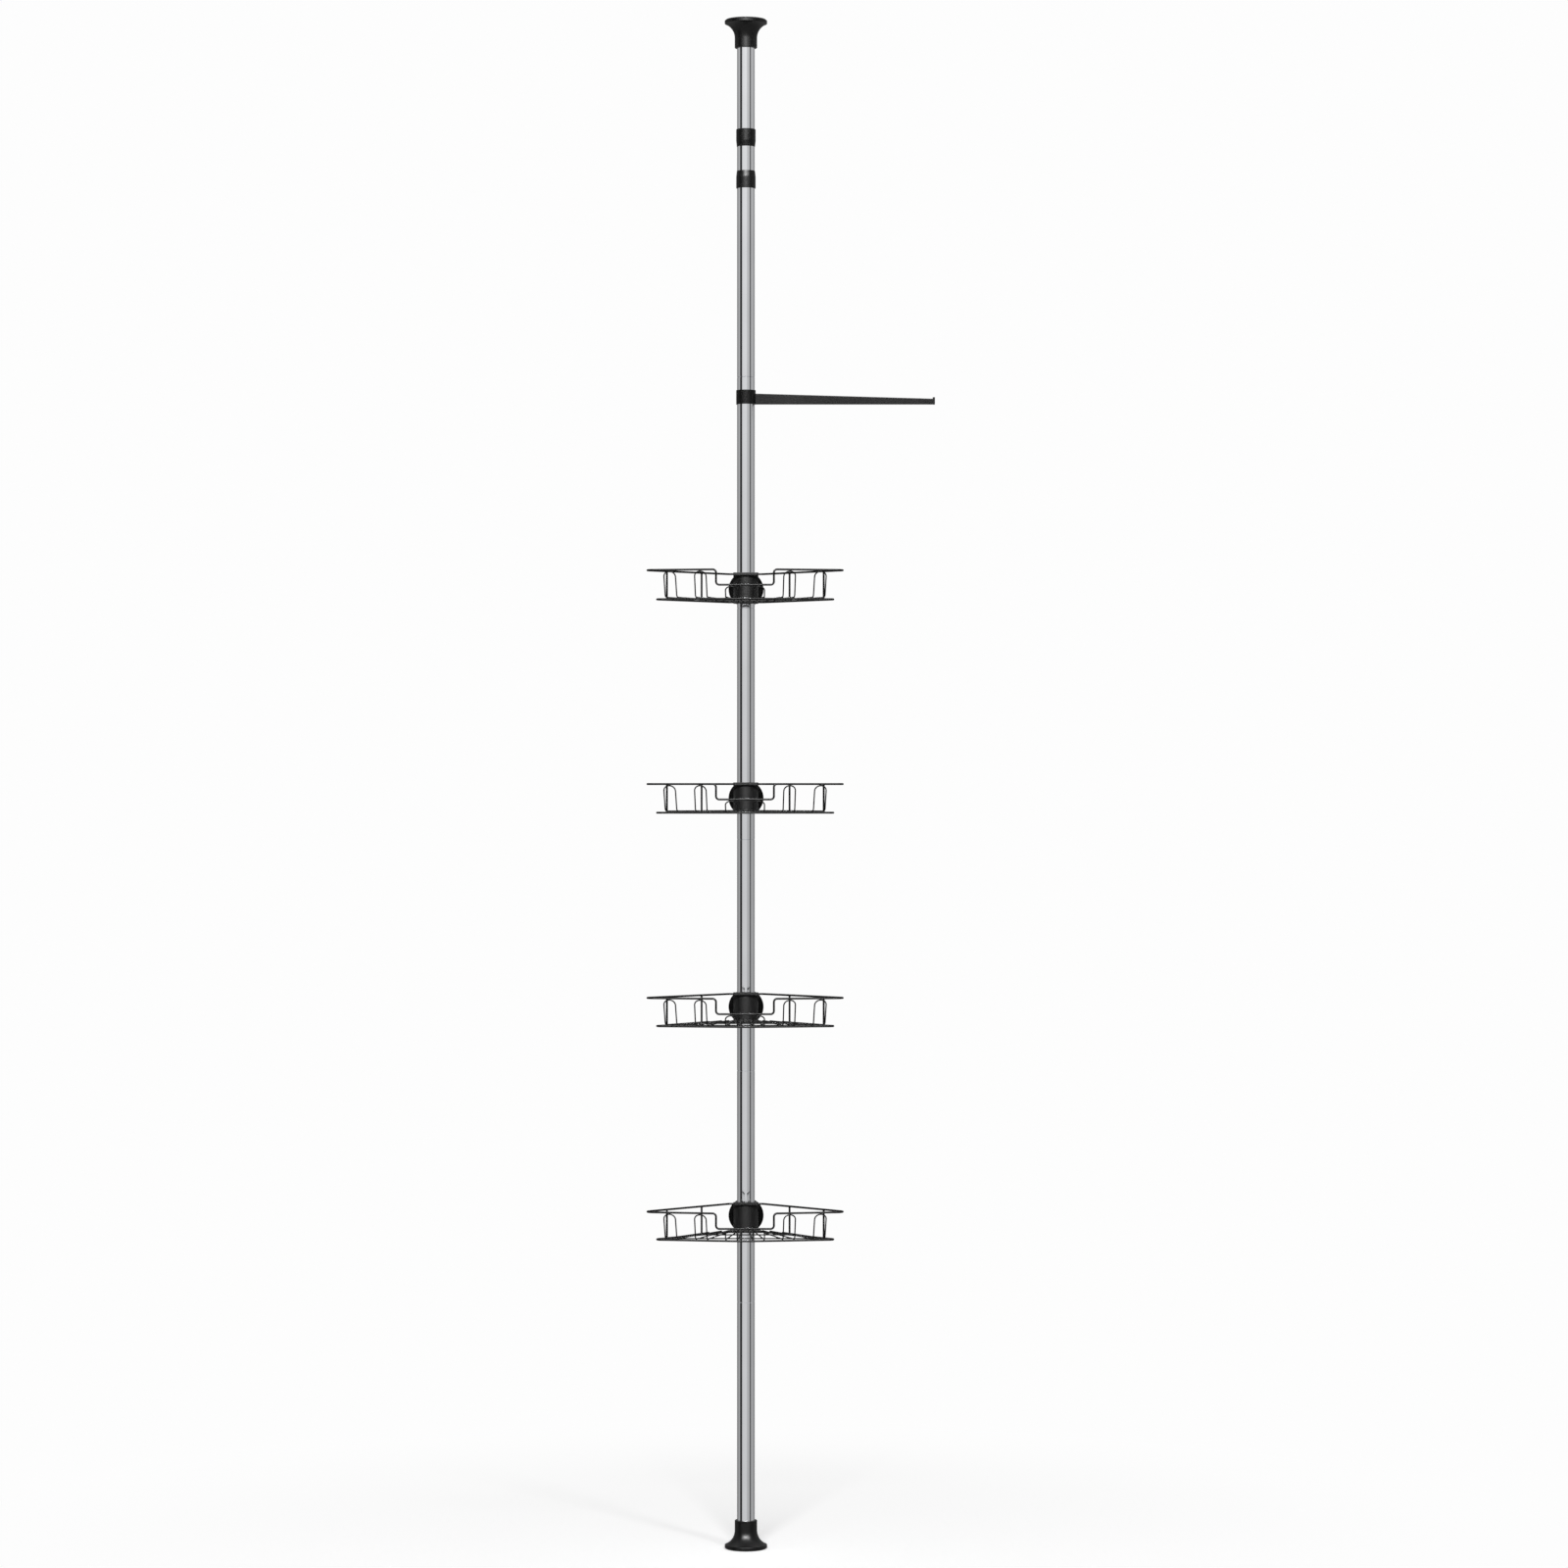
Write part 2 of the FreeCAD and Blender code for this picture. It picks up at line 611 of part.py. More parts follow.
def lower_bar():
    ledge = LOWER_BAR_THICK - SLEEVE_LOW
    return bar([
        (bar_front_y, -SLEEVE_LOW),
        (0, -SLEEVE_LOW),
        (0, ledge),
        (bar_front_y, ledge),
    ])


def channel(wire_z, mouth_z):
    """The trough that a back wire is sprung into, open towards mouth_z."""
    half = FRAME_WIRE_R + SEAT_GAP
    end_x = BRACKET_REAR_R + OVERCUT
    trough = Part.makeCylinder(half, 2 * end_x, Vec(-end_x, back_wire_y, wire_z), Vec(1, 0, 0))
    z_low, z_high = sorted((wire_z, mouth_z))
    mouth = box(-end_x, end_x, back_wire_y - half, back_wire_y + half, z_low, z_high)
    return trough.fuse(mouth)


def bracket():
    """Sleeve round the liner with a bar for each wire and a rear boss for the clamp screw."""
    height = SLEEVE_LOW + SLEEVE_TOP
    front = rod_z(BRACKET_FRONT_R, -SLEEVE_LOW, SLEEVE_TOP)
    rear = Part.makeCylinder(BRACKET_REAR_R, height, Vec(0, 0, -SLEEVE_LOW), Vec(0, 0, 1), 180)
    body = front.fuse([rear, rod_y(BOSS_R, 0, BOSS_END_Y), upper_bar(), lower_bar()])
    bore = rod_z(bracket_bore_r, -SLEEVE_LOW - OVERCUT, SLEEVE_TOP + OVERCUT)
    counterbore = rod_z(LINER_LIP_R + RUN_GAP, -SLEEVE_LOW - OVERCUT,
                        -SLEEVE_LOW + LINER_LIP_THICK + 2 * END_GAP)
    shoe_pocket = rod_y(SHOE_R + RUN_GAP, 0, shoe_pocket_y)
    insert_hole = rod_y(INSERT_R + SEAT_GAP, 0, BOSS_END_Y + OVERCUT)
    channels = [channel(-wire_half, -SLEEVE_LOW - OVERCUT), channel(wire_half, UPPER_BAR_TOP + OVERCUT)]
    return body.cut([bore, counterbore, shoe_pocket, insert_hole] + channels).removeSplitter()


def threaded_insert():
    """Metal bush in the boss's end, for the clamp screw."""
    bush = rod_y(INSERT_R, BOSS_END_Y - INSERT_LEN, BOSS_END_Y)
    return bush.cut(rod_y(CLAMP_SCREW_R + RUN_GAP, 0, BOSS_END_Y + OVERCUT))


def clamp_shoe():
    """Pad that the screw presses against the liner."""
    face = rod_z(bracket_bore_r, -SHOE_R - OVERCUT, SHOE_R + OVERCUT)
    socket = rod_y(CLAMP_SCREW_R + RUN_GAP, SHOE_BACK_Y - SHOE_SOCKET_DEPTH, SHOE_BACK_Y + OVERCUT)
    return rod_y(SHOE_R, 0, SHOE_BACK_Y).cut([face, socket])


def clamp_screw():
    """From the shoe's socket, through the insert and into the knob."""
    return rod_y(CLAMP_SCREW_R, SHOE_BACK_Y - SHOE_SOCKET_DEPTH + END_GAP, screw_hole_end - END_GAP)


def knob():
    """Round clamp knob: bevelled front ring, scalloped grip, recess for the boss."""
    back_y = knob_face_y + KNOB_DEPTH
    ring_end = knob_face_y + KNOB_RING
    grip_y = ring_end + KNOB_R - KNOB_GRIP_R
    body = outline([
        [Vec(0, knob_face_y, 0)],
        [Vec(KNOB_FACE_R, knob_face_y, 0)],
        [Vec(KNOB_R, knob_face_y + KNOB_BEVEL, 0)],
        [Vec(KNOB_R, ring_end, 0)],
        [Vec(KNOB_GRIP_R, grip_y, 0)],
        [Vec(KNOB_GRIP_R, back_y - KNOB_BACK_BEVEL, 0)],
        [Vec(KNOB_GRIP_R - KNOB_BACK_BEVEL, back_y, 0)],
        [Vec(0, back_y, 0)],
    ]).revolve(Vec(0, 0, 0), Vec(0, 1, 0), 360)
    recess = rod_y(BOSS_R + KNOB_RECESS_GAP, 0, knob_recess_y)
    screw_hole = rod_y(CLAMP_SCREW_R + SEAT_GAP, 0, screw_hole_end)
    scallop_centre = KNOB_GRIP_R + KNOB_SCALLOP_R - KNOB_SCALLOP_DEPTH
    scallops = []
    for index in range(KNOB_SCALLOPS):
        angle = 2 * math.pi * index / KNOB_SCALLOPS
        scallop = rod_y(KNOB_SCALLOP_R, grip_y, back_y + OVERCUT)
        scallop.translate(Vec(scallop_centre * math.cos(angle), 0, scallop_centre * math.sin(angle)))
        scallops.append(scallop)
    return body.cut([recess, screw_hole] + scallops)


def build_baskets():
    """One basket is made and repeated down the pole."""
    rim = rim_wire()
    frame = floor_frame()
    wires = {
        "rim_wire": rim,
        "floor_frame": Part.makeCompound([frame] + posts(rim, frame)),
        "guard_wires": guard_wires(frame),
    }
    fittings = {
        "liner": liner(),
        "bracket": bracket(),
        "threaded_insert": threaded_insert(),
        "clamp_shoe": clamp_shoe(),
        "clamp_screw": clamp_screw(),
        "knob": knob(),
    }
    for index in range(BASKET_COUNT):
        rim_z = basket_rim_z - index * BASKET_PITCH
        for name, shape in wires.items():
            parts["%s_%d" % (name, index + 1)] = moved(shape, rim_z)
        for name, shape in fittings.items():
            parts["%s_%d" % (name, index + 1)] = moved(shape, rim_z - wire_half)


# ---------------------------------------------------------------- build and write

build_pole()
build_adjuster()
build_arm()
build_baskets()

os.makedirs("parts", exist_ok=True)
for name, shape in parts.items():
    shape.exportStep("parts/%s.step" % name)
print("%d nodes, %.1f mm tall" % (len(parts), ceiling_z))
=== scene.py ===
"""Looks for the tension pole shelf unit: finishes, weld beads, the adjuster's thread, a pale studio
and the camera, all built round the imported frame.  Metres, in the frame's own axes."""
import json
import math

import bmesh
import bpy
from mathutils import Matrix, Vector


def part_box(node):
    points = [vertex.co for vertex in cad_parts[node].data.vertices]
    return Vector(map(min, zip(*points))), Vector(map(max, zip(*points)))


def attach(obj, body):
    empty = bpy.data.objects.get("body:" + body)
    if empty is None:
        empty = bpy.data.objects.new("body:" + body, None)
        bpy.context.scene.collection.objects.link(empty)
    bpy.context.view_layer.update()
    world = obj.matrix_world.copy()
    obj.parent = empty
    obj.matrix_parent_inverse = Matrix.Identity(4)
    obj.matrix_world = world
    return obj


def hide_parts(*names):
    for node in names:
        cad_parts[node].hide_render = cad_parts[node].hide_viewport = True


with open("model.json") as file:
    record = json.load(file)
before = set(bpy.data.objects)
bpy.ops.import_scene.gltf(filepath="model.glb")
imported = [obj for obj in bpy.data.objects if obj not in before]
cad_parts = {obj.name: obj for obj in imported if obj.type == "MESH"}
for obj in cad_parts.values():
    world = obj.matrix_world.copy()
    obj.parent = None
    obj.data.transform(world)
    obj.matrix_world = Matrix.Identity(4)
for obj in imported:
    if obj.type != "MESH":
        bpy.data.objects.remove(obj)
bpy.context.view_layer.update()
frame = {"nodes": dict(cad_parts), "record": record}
record = frame["record"]
nodes = frame["nodes"]

MM = 0.001
BASKETS = (1, 2, 3, 4)


# ---------------------------------------------------------------- node trees

class Tree:
    """Short calls for building a node tree."""

    def __init__(self, tree):
        self.tree = tree
        tree.nodes.clear()

    def add(self, kind, **values):
        """A node with some of its settings."""
        node = self.tree.nodes.new(kind)
        for key, value in values.items():
            setattr(node, key, value)
        return node

    def set(self, node, key, value):
        """Gives an input, by name or by number, a plain value or another node's output."""
        socket = node.inputs[key]
        if isinstance(value, bpy.types.NodeSocket):
            self.tree.links.new(value, socket)
        else:
            socket.default_value = value

    def link(self, output, node, key):
        self.tree.links.new(output, node.inputs[key])

    def math(self, operation, a, b=None):
        node = self.add("ShaderNodeMath", operation=operation)
        self.set(node, 0, a)
        if b is not None:
            self.set(node, 1, b)
        return node.outputs[0]

    def ramp(self, factor, stops):
        """A ramp of (position, grey level)."""
        node = self.add("ShaderNodeValToRGB")
        elements = node.color_ramp.elements
        while len(elements) < len(stops):
            elements.new(0.5)
        for element, (position, level) in zip(elements, stops):
            element.position = position
            element.color = grey(level)
        self.set(node, "Fac", factor)
        return node.outputs["Color"]

    def stretched(self, scale):
        """Object coordinates, scaled along each axis."""
        coordinates = self.add("ShaderNodeTexCoord")
        mapping = self.add("ShaderNodeMapping")
        self.set(mapping, "Vector", coordinates.outputs["Object"])
        mapping.inputs["Scale"].default_value = scale
        return mapping.outputs["Vector"]

    def noise(self, scale, detail=3.0, roughness=0.5, stretch=(1, 1, 1)):
        node = self.add("ShaderNodeTexNoise")
        self.set(node, "Vector", self.stretched(stretch))
        node.inputs["Scale"].default_value = scale
        node.inputs["Detail"].default_value = detail
        node.inputs["Roughness"].default_value = roughness
        return node.outputs["Fac"]

    def spread(self, value, low, high, from_low=0.3, from_high=0.7, shape="LINEAR"):
        """The value, brought from one range to another and kept in it."""
        node = self.add("ShaderNodeMapRange", interpolation_type=shape)
        for key, number in (("Value", value), ("From Min", from_low), ("From Max", from_high),
                            ("To Min", low), ("To Max", high)):
            self.set(node, key, number)
        return node.outputs[0]

    def blend(self, factor, first, second):
        """Two colours mixed."""
        node = self.add("ShaderNodeMix", data_type="RGBA")
        for key, value in ((0, factor), (6, first), (7, second)):    # 6 and 7 are the colours
            self.set(node, key, value)
        return node.outputs[2]

    def bump(self, height, distance, normal=None):
        node = self.add("ShaderNodeBump")
        node.inputs["Strength"].default_value = 1.0
        node.inputs["Distance"].default_value = distance
        self.set(node, "Height", height)
        if normal:
            self.set(node, "Normal", normal)
        return node.outputs["Normal"]


def grey(level, tint=(1, 1, 1)):
    return (level * tint[0], level * tint[1], level * tint[2], 1.0)


finishes = {}


def finish(name, slot, paint):
    """A material for one of the record's slots, or for one family of nodes; paint(tree, bsdf)
    fills it in."""
    material = bpy.data.materials.new(name)
    material.use_nodes = True
    tree = Tree(material.node_tree)
    output = tree.add("ShaderNodeOutputMaterial")
    bsdf = tree.add("ShaderNodeBsdfPrincipled")
    tree.link(bsdf.outputs[0], output, "Surface")
    paint(tree, bsdf)
    finishes[slot] = material


# ---------------------------------------------------------------- finishes

CHROME_TINTS = (0.79, 0.80, 0.82, 1), (0.83, 0.84, 0.86, 1)
BRASS_TINTS = (0.66, 0.47, 0.20, 1), (0.80, 0.63, 0.32, 1)
ZINC_TINTS = (0.58, 0.60, 0.64, 1), (0.68, 0.66, 0.60, 1)      # a blue and a straw cast
NYLON_TINTS = grey(0.05), grey(0.07, (1, 1, 1.03))
RUBBER_TINTS = grey(0.006), grey(0.012)
WIRE_TINTS = grey(0.0015), grey(0.0030)
WIRE_SHINE = 0.12          # levels of the specular reflection
PLASTIC_SHINE = 0.17
ARM_SHINE = 0.11
BRACKET_SHINE = 0.15
KNOB_SHINE = 0.025
PLASTIC_LEVEL = 0.0045     # greys
# the knobs' grey, far below the other mouldings', is painted shade for the shade behind the
# brackets
KNOB_SHADE_LEVEL = 0.0008
FLOW_TINT = 0.2            # how far the flow marks change the grey, as a share of it
SPARK_SHARE = 0.4          # of the gloss; the flow marks have the rest
BRACKET_EDGE = 0.9 * MM    # radii of the rounded corners
KNOB_EDGE = 0.5 * MM
BEVEL_SAMPLES = 6


def coat(tree, bsdf, tint, tints, gloss, roughness, relief, height, metallic=0.0, normal=None):
    """Three textures at work: tint mixes two colours, gloss varies the roughness between two
    values, and relief raises the surface by the height."""
    bsdf.inputs["Metallic"].default_value = metallic
    tree.set(bsdf, "Base Color", tree.blend(tree.spread(tint, 0, 1), *tints))
    tree.set(bsdf, "Roughness", tree.spread(gloss, *roughness))
    tree.set(bsdf, "Normal", tree.bump(relief, height, normal=normal))


def paint_chrome(tree, bsdf):
    """Bright chrome: long faint buffing lines along the tube and a trace of haze."""
    lines = tree.noise(1.0, detail=4, stretch=(900, 900, 5))
    haze = tree.noise(14, detail=2)
    coat(tree, bsdf, tint=haze, tints=CHROME_TINTS, gloss=lines, roughness=(0.045, 0.075),
         relief=lines, height=0.001 * MM, metallic=1.0)


def paint_plastic(tree, bsdf, level=PLASTIC_LEVEL, rough=(0.26, 0.32), shine=PLASTIC_SHINE, edge=0):
    """Satin black moulding: fine spark texture, faint flow marks; edge rounds its sharp corners."""
    flow = tree.noise(22, detail=3, stretch=(1, 1, 0.35))
    spark = tree.noise(3200, detail=2, roughness=0.6)
    gloss = tree.math("ADD", tree.math("MULTIPLY", flow, 1 - SPARK_SHARE),
                      tree.math("MULTIPLY", spark, SPARK_SHARE))
    rounded = None
    if edge:
        bevel = tree.add("ShaderNodeBevel", samples=BEVEL_SAMPLES)
        bevel.inputs["Radius"].default_value = edge
        rounded = bevel.outputs[0]
    tints = grey(level * (1 - FLOW_TINT)), grey(level * (1 + FLOW_TINT))
    coat(tree, bsdf, tint=flow, tints=tints, gloss=gloss, roughness=rough,
         relief=spark, height=0.004 * MM, normal=rounded)
    bsdf.inputs["Specular IOR Level"].default_value = shine


def paint_arm(tree, bsdf):
    """The arm reflects a little less than the other mouldings."""
    paint_plastic(tree, bsdf, rough=(0.25, 0.31), shine=ARM_SHINE)


def paint_bracket(tree, bsdf):
    """The brackets' plastic is duller."""
    paint_plastic(tree, bsdf, rough=(0.42, 0.50), shine=BRACKET_SHINE, edge=BRACKET_EDGE)


def paint_shaded_knob(tree, bsdf):
    """Matt knobs, their grey darkened as painted shade for the shade behind the brackets."""
    paint_plastic(tree, bsdf, KNOB_SHADE_LEVEL, rough=(0.45, 0.55), shine=KNOB_SHINE, edge=KNOB_EDGE)


def paint_nylon(tree, bsdf):
    """Plain turned nylon."""
    turned = tree.noise(1.0, detail=2, stretch=(40, 40, 2400))
    mottle = tree.noise(60, detail=3)
    coat(tree, bsdf, tint=mottle, tints=NYLON_TINTS, gloss=turned, roughness=(0.42, 0.55),
         relief=turned, height=0.02 * MM)


def paint_rubber(tree, bsdf):
    """Matt black rubber with a dry bloom in patches."""
    bloom = tree.noise(90, detail=5)
    grain = tree.noise(2600, detail=2)
    coat(tree, bsdf, tint=bloom, tints=RUBBER_TINTS, gloss=bloom, roughness=(0.70, 0.85),
         relief=grain, height=0.04 * MM)


def paint_wire(tree, bsdf):
    """Satin black powder coat: slight orange peel, thinner and glossier here and there."""
    peel = tree.noise(1500, detail=2, roughness=0.4)
    film = tree.noise(45, detail=3)
    coat(tree, bsdf, tint=film, tints=WIRE_TINTS, gloss=film, roughness=(0.22, 0.30),
         relief=peel, height=0.01 * MM)
    bsdf.inputs["Specular IOR Level"].default_value = WIRE_SHINE


def paint_brass(tree, bsdf):
    """Turned brass: tool rings and slight tarnish."""
    rings = tree.noise(1.0, detail=2, stretch=(60, 60, 5000))
    tarnish = tree.noise(160, detail=4)
    coat(tree, bsdf, tint=tarnish, tints=BRASS_TINTS, gloss=rings, roughness=(0.20, 0.34),
         relief=rings, height=0.01 * MM, metallic=1.0)


def paint_zinc(tree, bsdf):
    """Zinc-plated steel: pale and slightly mottled."""
    patches = tree.noise(120, detail=4)
    fine = tree.noise(900, detail=3)
    coat(tree, bsdf, tint=patches, tints=ZINC_TINTS, gloss=fine, roughness=(0.26, 0.42),
         relief=fine, height=0.01 * MM, metallic=1.0)


finish("bright_chrome", "chrome", paint_chrome)
finish("satin_moulding", "black_plastic", paint_plastic)
finish("satin_arm", "arm_plastic", paint_arm)
finish("satin_bracket", "bracket", paint_bracket)
# the knobs' material darkens them as painted shade
finish("knob_painted_shade", "knob", paint_shaded_knob)
finish("turned_nylon", "grey_plastic", paint_nylon)
finish("matt_rubber", "rubber", paint_rubber)
finish("powder_coat", "black_wire", paint_wire)
finish("turned_brass", "brass", paint_brass)
finish("zinc_plate", "zinc_steel", paint_zinc)

for part in record["subparts"]:
    mesh = nodes[part["node"]].data
    family = part["node"].rstrip("_1234")        # brackets and knobs have finishes of their own
    mesh.materials.clear()
    mesh.materials.append(finishes.get(family, finishes[part["material_slot"]]))


# ---------------------------------------------------------------- the adjuster's thread

THREAD_PITCH = 5 * MM
THREAD_DEPTH = 1.9 * MM
THREAD_COLUMNS = 24       # faces round the screw, and rows to a pitch
THREAD_RUNOUT = 1.5 * MM  # the ends are chamfered over this length
THREAD_CREST = 0.18       # half the crest's share of the pitch
THREAD_FLANK = 0.12       # each flank's share of it
THREAD_SHARP = 35         # edges with a greater angle, in degrees, stay sharp


def thread_depth(phase):
    """How deep the trapezoidal groove is at a share of the pitch: crest, flank, root, flank."""
    from_crest = min(phase, 1 - phase)
    return min(1.0, max(0.0, (from_crest - THREAD_CREST) / THREAD_FLANK))


def jack_screw_thread():
    """The jack screw with its real thread in place of the plain cylinder."""
    low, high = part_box("jack_screw")
    radius = high.x
    step = THREAD_PITCH / THREAD_COLUMNS
    rows = int((high.z - low.z) / step)
    step = (high.z - low.z) / rows
    vertices = []
    for row in range(rows + 1):
        z = low.z + row * step
        from_end = min(z - low.z, high.z - z)
        chamfer = max(0.0, THREAD_RUNOUT - from_end)
        for column in range(THREAD_COLUMNS):
            turn = column / THREAD_COLUMNS
            depth = THREAD_DEPTH * thread_depth((z / THREAD_PITCH - turn) % 1.0)
            reach = radius - max(depth, chamfer)
            angle = 2 * math.pi * turn
            vertices.append((reach * math.cos(angle), reach * math.sin(angle), z))
    faces = []
    for row in range(rows):
        for column in range(THREAD_COLUMNS):
            a = row * THREAD_COLUMNS + column
            b = row * THREAD_COLUMNS + (column + 1) % THREAD_COLUMNS
            faces.append((a, b, b + THREAD_COLUMNS, a + THREAD_COLUMNS))
    last = rows * THREAD_COLUMNS
    faces.append(tuple(range(THREAD_COLUMNS - 1, -1, -1)))
    faces.append(tuple(range(last, last + THREAD_COLUMNS)))
    mesh = bpy.data.meshes.new("jack_screw_thread")
    mesh.from_pydata(vertices, [], faces)
    mesh.materials.append(finishes["zinc_steel"])
    screw = bpy.data.objects.new("jack_screw_thread", mesh)
    bpy.context.scene.collection.objects.link(screw)
    mesh.set_sharp_from_angle(angle=math.radians(THREAD_SHARP))
    mesh.polygons.foreach_set("use_smooth", [True] * len(mesh.polygons))
    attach(screw, "top")
    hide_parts("jack_screw")


jack_screw_thread()


# ---------------------------------------------------------------- the baskets' weld beads

# The wires as the CAD source bends them, in millimetres.  The rim wire is at z = 0 and X is counted
# from the middle.
FRAME_WIRE_R = 1.4
GUARD_WIRE_R = 0.9
BASKET_DEPTH = 39.7
SIDE_LINE_Y = 6.5
RIM_CORNER_X = 145.6
RIM_FRONT_SLOPE = 0.197
BASE_CORNER_X = 130.2
BASE_FRONT_SLOPE = 0.184
BASE_FRONT_BEND = 150.0
DIP_HALF_WIDTH = 39.9
DIP_DEPTH = 21.2
POSTS_X = (61.6, 109.0)
GUARD_FIRST_X = 18.7
GUARD_PITCH = 41.85
GUARD_HALF_WIDTH = 8.0
GUARD_TOP_SPREAD = 1.02
GUARD_TOE = 3.0
REAR_END_PITCH = 6.87
LAST_END_X = 51.7
CROSS_WIRES_Y = (-22.9, -62.0, -113.0)
BEAD_R = 1.25
BEAD_HEIGHT = 0.8         # of a bead, as a share of its radius
COLLAR_R = 1.8            # the wider, flatter bead round a post's end
COLLAR_HEIGHT = 0.7
BEAD_SWELL = 0.12         # how much the beads differ in size ...
BEAD_SWELL_STEP = 5.3     # ... and the step, in radians, from one to the next


def side_y(x):
    return SIDE_LINE_Y - x


def rim_front_y(x):
    return side_y(RIM_CORNER_X) - RIM_FRONT_SLOPE * (RIM_CORNER_X - x)


def base_front_y(x):
    nose_y = side_y(BASE_CORNER_X) - BASE_FRONT_SLOPE * BASE_CORNER_X
    angle = math.atan(BASE_FRONT_SLOPE)
    if x >= BASE_FRONT_BEND * math.sin(angle):
        return nose_y + BASE_FRONT_SLOPE * x
    return nose_y + BASE_FRONT_BEND / math.cos(angle) - math.sqrt(BASE_FRONT_BEND ** 2 - x ** 2)


def floor_wire(rank):
    """Toe and rear end of a floor wire, counted from the middle."""
    toe_x = GUARD_FIRST_X + rank // 2 * GUARD_PITCH + GUARD_HALF_WIDTH * (1 if rank % 2 else -1)
    toe = Vector((toe_x, base_front_y(toe_x) - GUARD_TOE))
    if rank == 5:
        return toe, Vector((LAST_END_X, side_y(LAST_END_X)))
    rear_y = CROSS_WIRES_Y[0] + GUARD_WIRE_R
    slant = ((rank + 0.5) * REAR_END_PITCH - toe.x) / (rear_y - toe.y)
    y = min(rear_y, (SIDE_LINE_Y - toe.x + slant * toe.y) / (1 + slant))
    return toe, Vector((toe.x + slant * (y - toe.y), y))


def weld_spots():
    """Centre and half sizes of each bead on the basket's right half."""
    round_bead = Vector((BEAD_R, BEAD_R, BEAD_HEIGHT * BEAD_R))
    collar = Vector((COLLAR_R, COLLAR_R, COLLAR_HEIGHT))
    floor_skin = -BASKET_DEPTH + FRAME_WIRE_R
    cross_z = floor_skin - GUARD_WIRE_R
    spots = []
    for loop in range(3):
        top_x = GUARD_TOP_SPREAD * (GUARD_FIRST_X + loop * GUARD_PITCH)
        top_z = -FRAME_WIRE_R - (DIP_DEPTH if top_x < DIP_HALF_WIDTH else 0)
        top = Vector((top_x, rim_front_y(max(top_x, DIP_HALF_WIDTH)), top_z))
        spots.append((top, round_bead))
    for rank in range(6):
        toe, end = floor_wire(rank)
        for y in (toe.y + GUARD_TOE, *CROSS_WIRES_Y[:0:-1]):
            if y < end.y:
                x = toe.x + (end.x - toe.x) * (y - toe.y) / (end.y - toe.y)
                spots.append((Vector((x, y, floor_skin)), round_bead))
        spots.append((Vector((end.x, end.y - GUARD_WIRE_R, floor_skin)), round_bead))
    for y in CROSS_WIRES_Y:
        spots.append((Vector((SIDE_LINE_Y - y - FRAME_WIRE_R, y, cross_z)), round_bead))
    for x in POSTS_X:
        for z in (-FRAME_WIRE_R, floor_skin):
            spots.append((Vector((x, side_y(x), z)), collar))
    return spots


def weld_beads(number):
    """One basket's beads, each a flattened drop a little different from the next."""
    rim_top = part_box("rim_wire_%d" % number)[1].z
    rim = Vector((0, 0, rim_top - FRAME_WIRE_R * MM))
    drops = bmesh.new()
    for count, (centre, size) in enumerate(weld_spots()):
        for side in (-1, 1):
            swell = 1 + BEAD_SWELL * math.sin(BEAD_SWELL_STEP * count + side)
            place = Matrix.Translation(rim + MM * Vector((side * centre.x, centre.y, centre.z)))
            drop = place @ Matrix.Diagonal((size.x * swell, size.y * swell, size.z, 1))
            bmesh.ops.create_icosphere(drops, subdivisions=2, radius=MM, matrix=drop)
    mesh = bpy.data.meshes.new("weld_beads_%d" % number)
    drops.to_mesh(mesh)
    drops.free()
    mesh.polygons.foreach_set("use_smooth", [True] * len(mesh.polygons))
    mesh.materials.append(finishes["black_wire"])
    beads = bpy.data.objects.new("weld_beads_%d" % number, mesh)
    bpy.context.scene.collection.objects.link(beads)
    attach(beads, "basket_%d" % number)


for number in BASKETS:
    weld_beads(number)


# ---------------------------------------------------------------- studio

CAMERA_PLACE = Vector((0.0538, -6.343, 1.0801))
CAMERA_LENS = 103.05
CAMERA_SENSOR = 36.0
CAMERA_CLIP_END = 200.0

# What a mirror surface sees round the studio at eye level, by azimuth in degrees: 0 is towards the
# camera, plus is to the right.
ROOM = (
    (-180, 0.18), (-130, 0.22), (-104, 0.42), (-86, 0.45),     # left wall, with a brighter stretch
    (-80, 0.03), (-54, 0.01),                                  # black flag
    (-49, 0.58), (-36, 0.68), (8, 0.70),                       # bright card in front
    (18, 0.53), (52, 0.43),                                    # its softer right half
    (55, 0.03), (64, 0.03),                                    # dark stand
    (69, 0.38), (95, 0.46), (114, 0.33), (180, 0.24),          # right wall
)
# Heights in reflections are the upward part of a ray's direction, from -1 to 1.
ROOM_RISE = 1.3            # how many times brighter the room is at the upper of these heights
ROOM_RISE_SPAN = (0.0, 0.2)
OVERHEAD = 1.0             # the ceiling, which takes over between these heights
OVERHEAD_SPAN = (0.62, 0.80)
UNDERFOOT = 0.55           # the floor, likewise
UNDERFOOT_SPAN = (-0.35, -0.65)
BANK_LEVEL = 28            # a wide softbox high in front, only in reflections
BANK_SIDE = (0.52, 0.66)   # its soft edges: to each side in radians, below and above in heights
BANK_FOOT = (0.30, 0.40)
BANK_HEAD = (0.62, 0.72)

AMBIENT = 0.15             # even light on matt surfaces
BACKGROUND = 0.983
FLOOR_HALF = 40.0          # half the floor's side
FLOOR_ALBEDO = 0.90
FLOOR_NEAR = 0.34          # share of plain background added to the floor beside the foot
FLOOR_FADE = (0.0, 1.2)    # between these distances it rises to 1, and the lit floor fades out

# Lamps: place, target, width, height, power.
LAMPS = {
    "bank": ((-0.4, -11.0, 6.4), (0, 0, 1.2), 5.0, 1.7, 1500),
    "key": ((3.4, -5.6, 5.4), (0, 0, 0.9), 0.8, 0.8, 100),
}


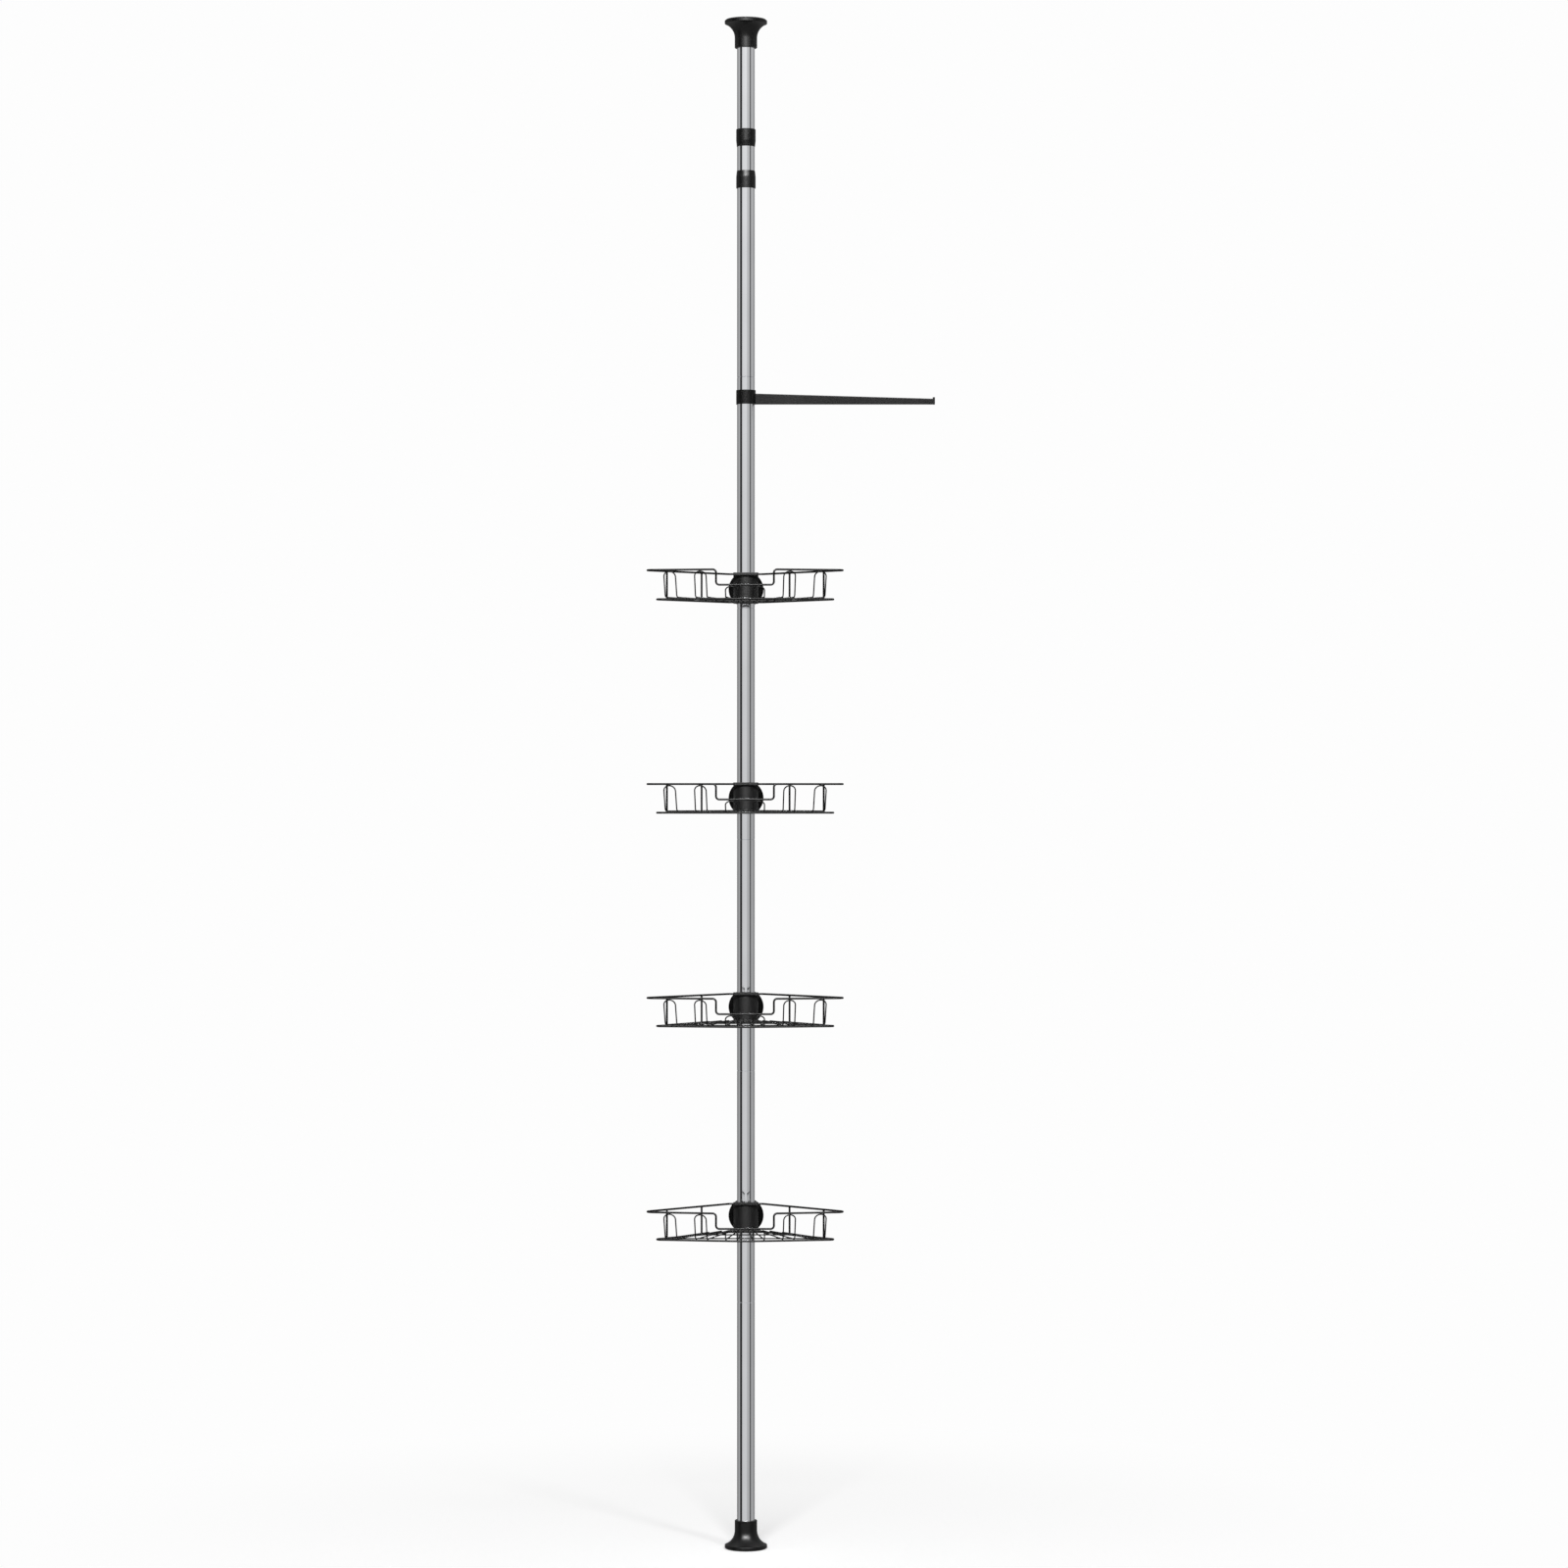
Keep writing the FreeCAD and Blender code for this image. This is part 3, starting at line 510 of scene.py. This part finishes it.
def studio_world():
    """Plain background for the camera, even light for matt surfaces, the room for mirrors."""
    world = bpy.data.worlds.new("studio")
    bpy.context.scene.world = world
    world.use_nodes = True
    tree = Tree(world.node_tree)
    output = tree.add("ShaderNodeOutputWorld")
    background = tree.add("ShaderNodeBackground")
    tree.link(background.outputs[0], output, "Surface")
    coordinates = tree.add("ShaderNodeTexCoord")
    axes = tree.add("ShaderNodeSeparateXYZ")
    tree.set(axes, "Vector", coordinates.outputs["Generated"])
    x, y, z = axes.outputs
    azimuth = tree.math("ARCTAN2", x, tree.math("MULTIPLY", y, -1))
    turn = tree.math("ADD", tree.math("DIVIDE", azimuth, 2 * math.pi), 0.5)
    walls = tree.add("ShaderNodeVectorMath", operation="SCALE")
    stops = [((angle + 180) / 360, level) for angle, level in ROOM]
    tree.set(walls, "Vector", tree.ramp(turn, stops))
    tree.set(walls, "Scale", tree.spread(z, 1.0, ROOM_RISE, *ROOM_RISE_SPAN))
    within = tree.math("MULTIPLY", tree.spread(z, 0, 1, *BANK_FOOT),
                       tree.spread(z, 1, 0, *BANK_HEAD))
    across = tree.spread(tree.math("ABSOLUTE", azimuth), 1, 0, *BANK_SIDE)
    bank = tree.math("MULTIPLY", across, within)
    lit_walls = tree.add("ShaderNodeVectorMath", operation="ADD")
    tree.set(lit_walls, 0, walls.outputs[0])
    tree.set(lit_walls, 1, tree.math("MULTIPLY", bank, BANK_LEVEL))
    room = lit_walls.outputs[0]
    for span, level in ((OVERHEAD_SPAN, OVERHEAD), (UNDERFOOT_SPAN, UNDERFOOT)):
        room = tree.blend(tree.spread(z, 0, 1, *span), room, grey(level))
    path = tree.add("ShaderNodeLightPath")
    mirror = tree.math("MAXIMUM", path.outputs["Is Glossy Ray"],
                       path.outputs["Is Transmission Ray"])
    seen = tree.blend(mirror, grey(AMBIENT), room)
    seen = tree.blend(path.outputs["Is Camera Ray"], seen, grey(BACKGROUND))
    tree.set(background, "Color", seen)


def floor():
    """A wide pale floor.  The camera sees it white, with the object's soft shadow, and plain
    background further off; mirror surfaces see the room through it."""
    material = bpy.data.materials.new("studio_floor")
    material.use_nodes = True
    tree = Tree(material.node_tree)
    output = tree.add("ShaderNodeOutputMaterial")
    path = tree.add("ShaderNodeLightPath")
    camera_ray = path.outputs["Is Camera Ray"]
    coordinates = tree.add("ShaderNodeTexCoord")
    distance = tree.add("ShaderNodeVectorMath", operation="LENGTH")
    tree.set(distance, 0, coordinates.outputs["Object"])
    plain = tree.spread(distance.outputs["Value"], 0, 1, *FLOOR_FADE, shape="SMOOTHSTEP")
    fade = tree.math("MULTIPLY", camera_ray, plain)
    diffuse = tree.add("ShaderNodeBsdfDiffuse")
    tree.set(diffuse, "Color", tree.blend(fade, grey(FLOOR_ALBEDO), grey(0)))
    glow = tree.add("ShaderNodeEmission")
    tree.set(glow, "Color", grey(BACKGROUND))
    share = tree.spread(plain, FLOOR_NEAR, 1.0, 0.0, 1.0)
    tree.set(glow, "Strength", tree.math("MULTIPLY", camera_ray, share))
    lit = tree.add("ShaderNodeAddShader")
    tree.link(diffuse.outputs[0], lit, 0)
    tree.link(glow.outputs[0], lit, 1)
    clear = tree.add("ShaderNodeBsdfTransparent")
    whole = tree.add("ShaderNodeMixShader")
    tree.set(whole, 0, path.outputs["Is Glossy Ray"])
    tree.link(lit.outputs[0], whole, 1)
    tree.link(clear.outputs[0], whole, 2)
    tree.link(whole.outputs[0], output, "Surface")
    mesh = bpy.data.meshes.new("studio_floor")
    signs = ((-1, -1), (1, -1), (1, 1), (-1, 1))
    corners = [(x * FLOOR_HALF, y * FLOOR_HALF, 0) for x, y in signs]
    mesh.from_pydata(corners, [], [(0, 1, 2, 3)])
    mesh.materials.append(material)
    plane = bpy.data.objects.new("studio_floor", mesh)
    bpy.context.scene.collection.objects.link(plane)


def softbox(name, place, target, width, height, power):
    """A rectangular lamp that faces its target."""
    lamp = bpy.data.lights.new(name, "AREA")
    lamp.shape = "RECTANGLE"
    lamp.size = width
    lamp.size_y = height
    lamp.energy = power
    box = bpy.data.objects.new(name, lamp)
    box.location = place
    box.rotation_euler = (Vector(target) - Vector(place)).to_track_quat("-Z", "Y").to_euler()
    bpy.context.scene.collection.objects.link(box)


def camera():
    """Level, and turned to +Y."""
    data = bpy.data.cameras.new("camera")
    data.lens = CAMERA_LENS
    data.sensor_width = CAMERA_SENSOR
    data.clip_end = CAMERA_CLIP_END
    eye = bpy.data.objects.new("camera", data)
    eye.location = CAMERA_PLACE
    eye.rotation_euler = (math.pi / 2, 0, 0)
    bpy.context.scene.collection.objects.link(eye)
    bpy.context.scene.camera = eye


studio_world()
floor()
for lamp, values in LAMPS.items():
    softbox(lamp, *values)
camera()
bpy.context.scene.view_settings.view_transform = "Standard"
